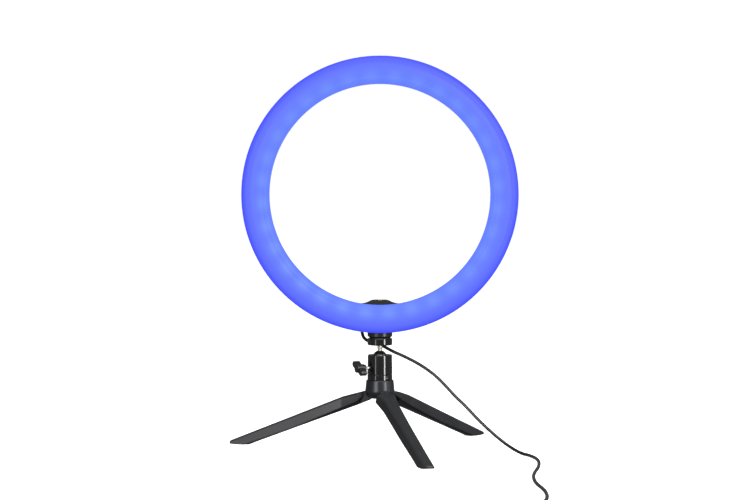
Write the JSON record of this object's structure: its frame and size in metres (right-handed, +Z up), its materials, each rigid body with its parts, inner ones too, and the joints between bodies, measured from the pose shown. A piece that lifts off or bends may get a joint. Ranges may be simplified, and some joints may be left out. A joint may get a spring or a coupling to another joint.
{
  "type": "ring light on tripod",
  "caption": "Tabletop ring light on a ball head and a folding mini tripod, with a USB cord and an inline button controller.",
  "frame": {"origin": "on the floor, under the tripod's vertical axis, between the three feet", "axes": "+Z up along the tripod, -Y is where the lit face looks, +X to the right of someone looking at the lit face"},
  "size_m": [0.2881, 0.5591, 0.37],
  "materials": {
    "diffuser": "milky translucent, lit violet-blue from inside",
    "shell_black": "glossy black",
    "block_black": "glossy black",
    "ball_head_black": "high-gloss black",
    "hub_black": "satin black",
    "leg_black": "fine-grained matte black",
    "leg_core": "matte black",
    "knob_black": "semi-gloss black",
    "nickel": "bright nickel plate",
    "steel": "plain steel",
    "screw_black": "black oxide",
    "brass_metal": "turned brass",
    "rubber_pad": "matte",
    "nylon": "natural nylon",
    "board": "white solder mask",
    "board_green": "green solder mask",
    "led_white": "white packages",
    "wire": "PVC insulation",
    "cord_black": "smooth glossy PVC",
    "controller_black": "glossy black",
    "button_grey": "soft grey",
    "switch_metal": "tinned can",
    "tie_black": "hook and loop band",
    "gold": "gold flash",
    "tongue_white": "white insulator"
  },
  "bodies": {
    "tripod": {"hub": "hub_black", "hub_cap": "hub_black", "tripod_stud": "steel", "leg_pins": "steel", "cap_screws": "screw_black", "ball_housing": "ball_head_black", "housing_base": "ball_head_black", "grub_screw": "steel", "cord_drop": "cord_black", "cord_floor": "cord_black", "cord_lead": "cord_black", "cord_tail": "cord_black", "cord_coil": "cord_black", "coil_tie": "tie_black", "controller_base": "controller_black", "controller_top": "controller_black", "controller_board": "board_green", "controller_switches": "switch_metal", "controller_screws": "screw_black", "controller_bushes": "cord_black", "usb_grip": "controller_black", "usb_shell": "nickel", "usb_tongue": "tongue_white", "usb_contacts": "gold"},
    "ball_pan": {"ball_seat": "nylon"},
    "ball_tilt": {"ball": "ball_head_black", "ball_stem": "nickel", "platform": "ball_head_black", "platform_pad": "rubber_pad"},
    "light_head": {"diffuser": "diffuser", "rear_shell": "shell_black", "led_board": "board", "leds": "led_white", "shell_screws": "screw_black", "mount_block": "block_black", "block_cover": "block_black", "cover_screws": "screw_black", "block_screws": "screw_black", "tripod_insert": "brass_metal", "phone_insert": "brass_metal", "driver_board": "board_green", "led_leads": "wire", "cord_relief": "cord_black"},
    "clamp_plunger": {"clamp_wedge": "steel"},
    "clamp_wing": {"clamp_screw": "nickel", "clamp_knob": "knob_black"},
    "leg_front": {"leg_cover_front": "leg_black", "leg_core_front": "leg_core"},
    "leg_right": {"leg_cover_right": "leg_black", "leg_core_right": "leg_core"},
    "leg_left": {"leg_cover_left": "leg_black", "leg_core_left": "leg_core"},
    "key_power": {"button_power": "button_grey"},
    "key_colour": {"button_colour": "button_grey"},
    "key_brighter": {"button_brighter": "button_grey"},
    "key_dimmer": {"button_dimmer": "button_grey"}
  },
  "joints": [
    {"name": "ball_pan", "type": "hinge", "parent": "tripod", "child": "ball_pan", "pos_m": [0, 0, 0.0859], "axis": [0, 0, 1], "range_deg": [-90, 90], "deforming": ["cord_drop"]},
    {"name": "ball_tilt", "type": "hinge", "parent": "ball_pan", "child": "ball_tilt", "pos_m": [0, 0, 0.0859], "axis": [1, 0, 0], "range_deg": [-40, 40], "deforming": ["cord_drop"]},
    {"name": "head_spin", "type": "hinge", "parent": "ball_tilt", "child": "light_head", "pos_m": [0, 0, 0.0859], "axis": [0, 0, 1], "range_deg": [-90, 90], "deforming": ["cord_drop"]},
    {"name": "clamp_slide", "type": "slide", "parent": "tripod", "child": "clamp_plunger", "axis": [-0.891, -0.454, 0], "range_m": [0, 0.00105]},
    {"name": "knob_turn", "type": "hinge", "parent": "clamp_plunger", "child": "clamp_wing", "pos_m": [-0.01782, -0.00908, 0.0765], "axis": [-0.891, -0.454, 0], "range_deg": [0, 540]},
    {"name": "leg_front_fold", "type": "hinge", "parent": "tripod", "child": "leg_front", "pos_m": [0.00244, -0.00814, 0.0525], "axis": [0.9578, 0.2874, 0], "range_deg": [0, 68]},
    {"name": "leg_right_fold", "type": "hinge", "parent": "tripod", "child": "leg_right", "pos_m": [0.00583, 0.00619, 0.0525], "axis": [-0.7278, 0.6858, 0], "range_deg": [0, 68]},
    {"name": "leg_left_fold", "type": "hinge", "parent": "tripod", "child": "leg_left", "pos_m": [-0.00827, 0.00196, 0.0525], "axis": [-0.23, -0.9732, 0], "range_deg": [0, 68]},
    {"name": "press_power", "type": "slide", "parent": "tripod", "child": "key_power", "axis": [0, 0, -1], "range_m": [0, 0.0006], "stiffness_N_per_m": 300},
    {"name": "press_colour", "type": "slide", "parent": "tripod", "child": "key_colour", "axis": [0, 0, -1], "range_m": [0, 0.0006], "stiffness_N_per_m": 300},
    {"name": "press_brighter", "type": "slide", "parent": "tripod", "child": "key_brighter", "axis": [0, 0, -1], "range_m": [0, 0.0006], "stiffness_N_per_m": 300},
    {"name": "press_dimmer", "type": "slide", "parent": "tripod", "child": "key_dimmer", "axis": [0, 0, -1], "range_m": [0, 0.0006], "stiffness_N_per_m": 300}
  ],
  "couplings": [
    {"joint": "knob_turn", "follows": "clamp_slide", "rad_per_m": 8976}
  ]
}
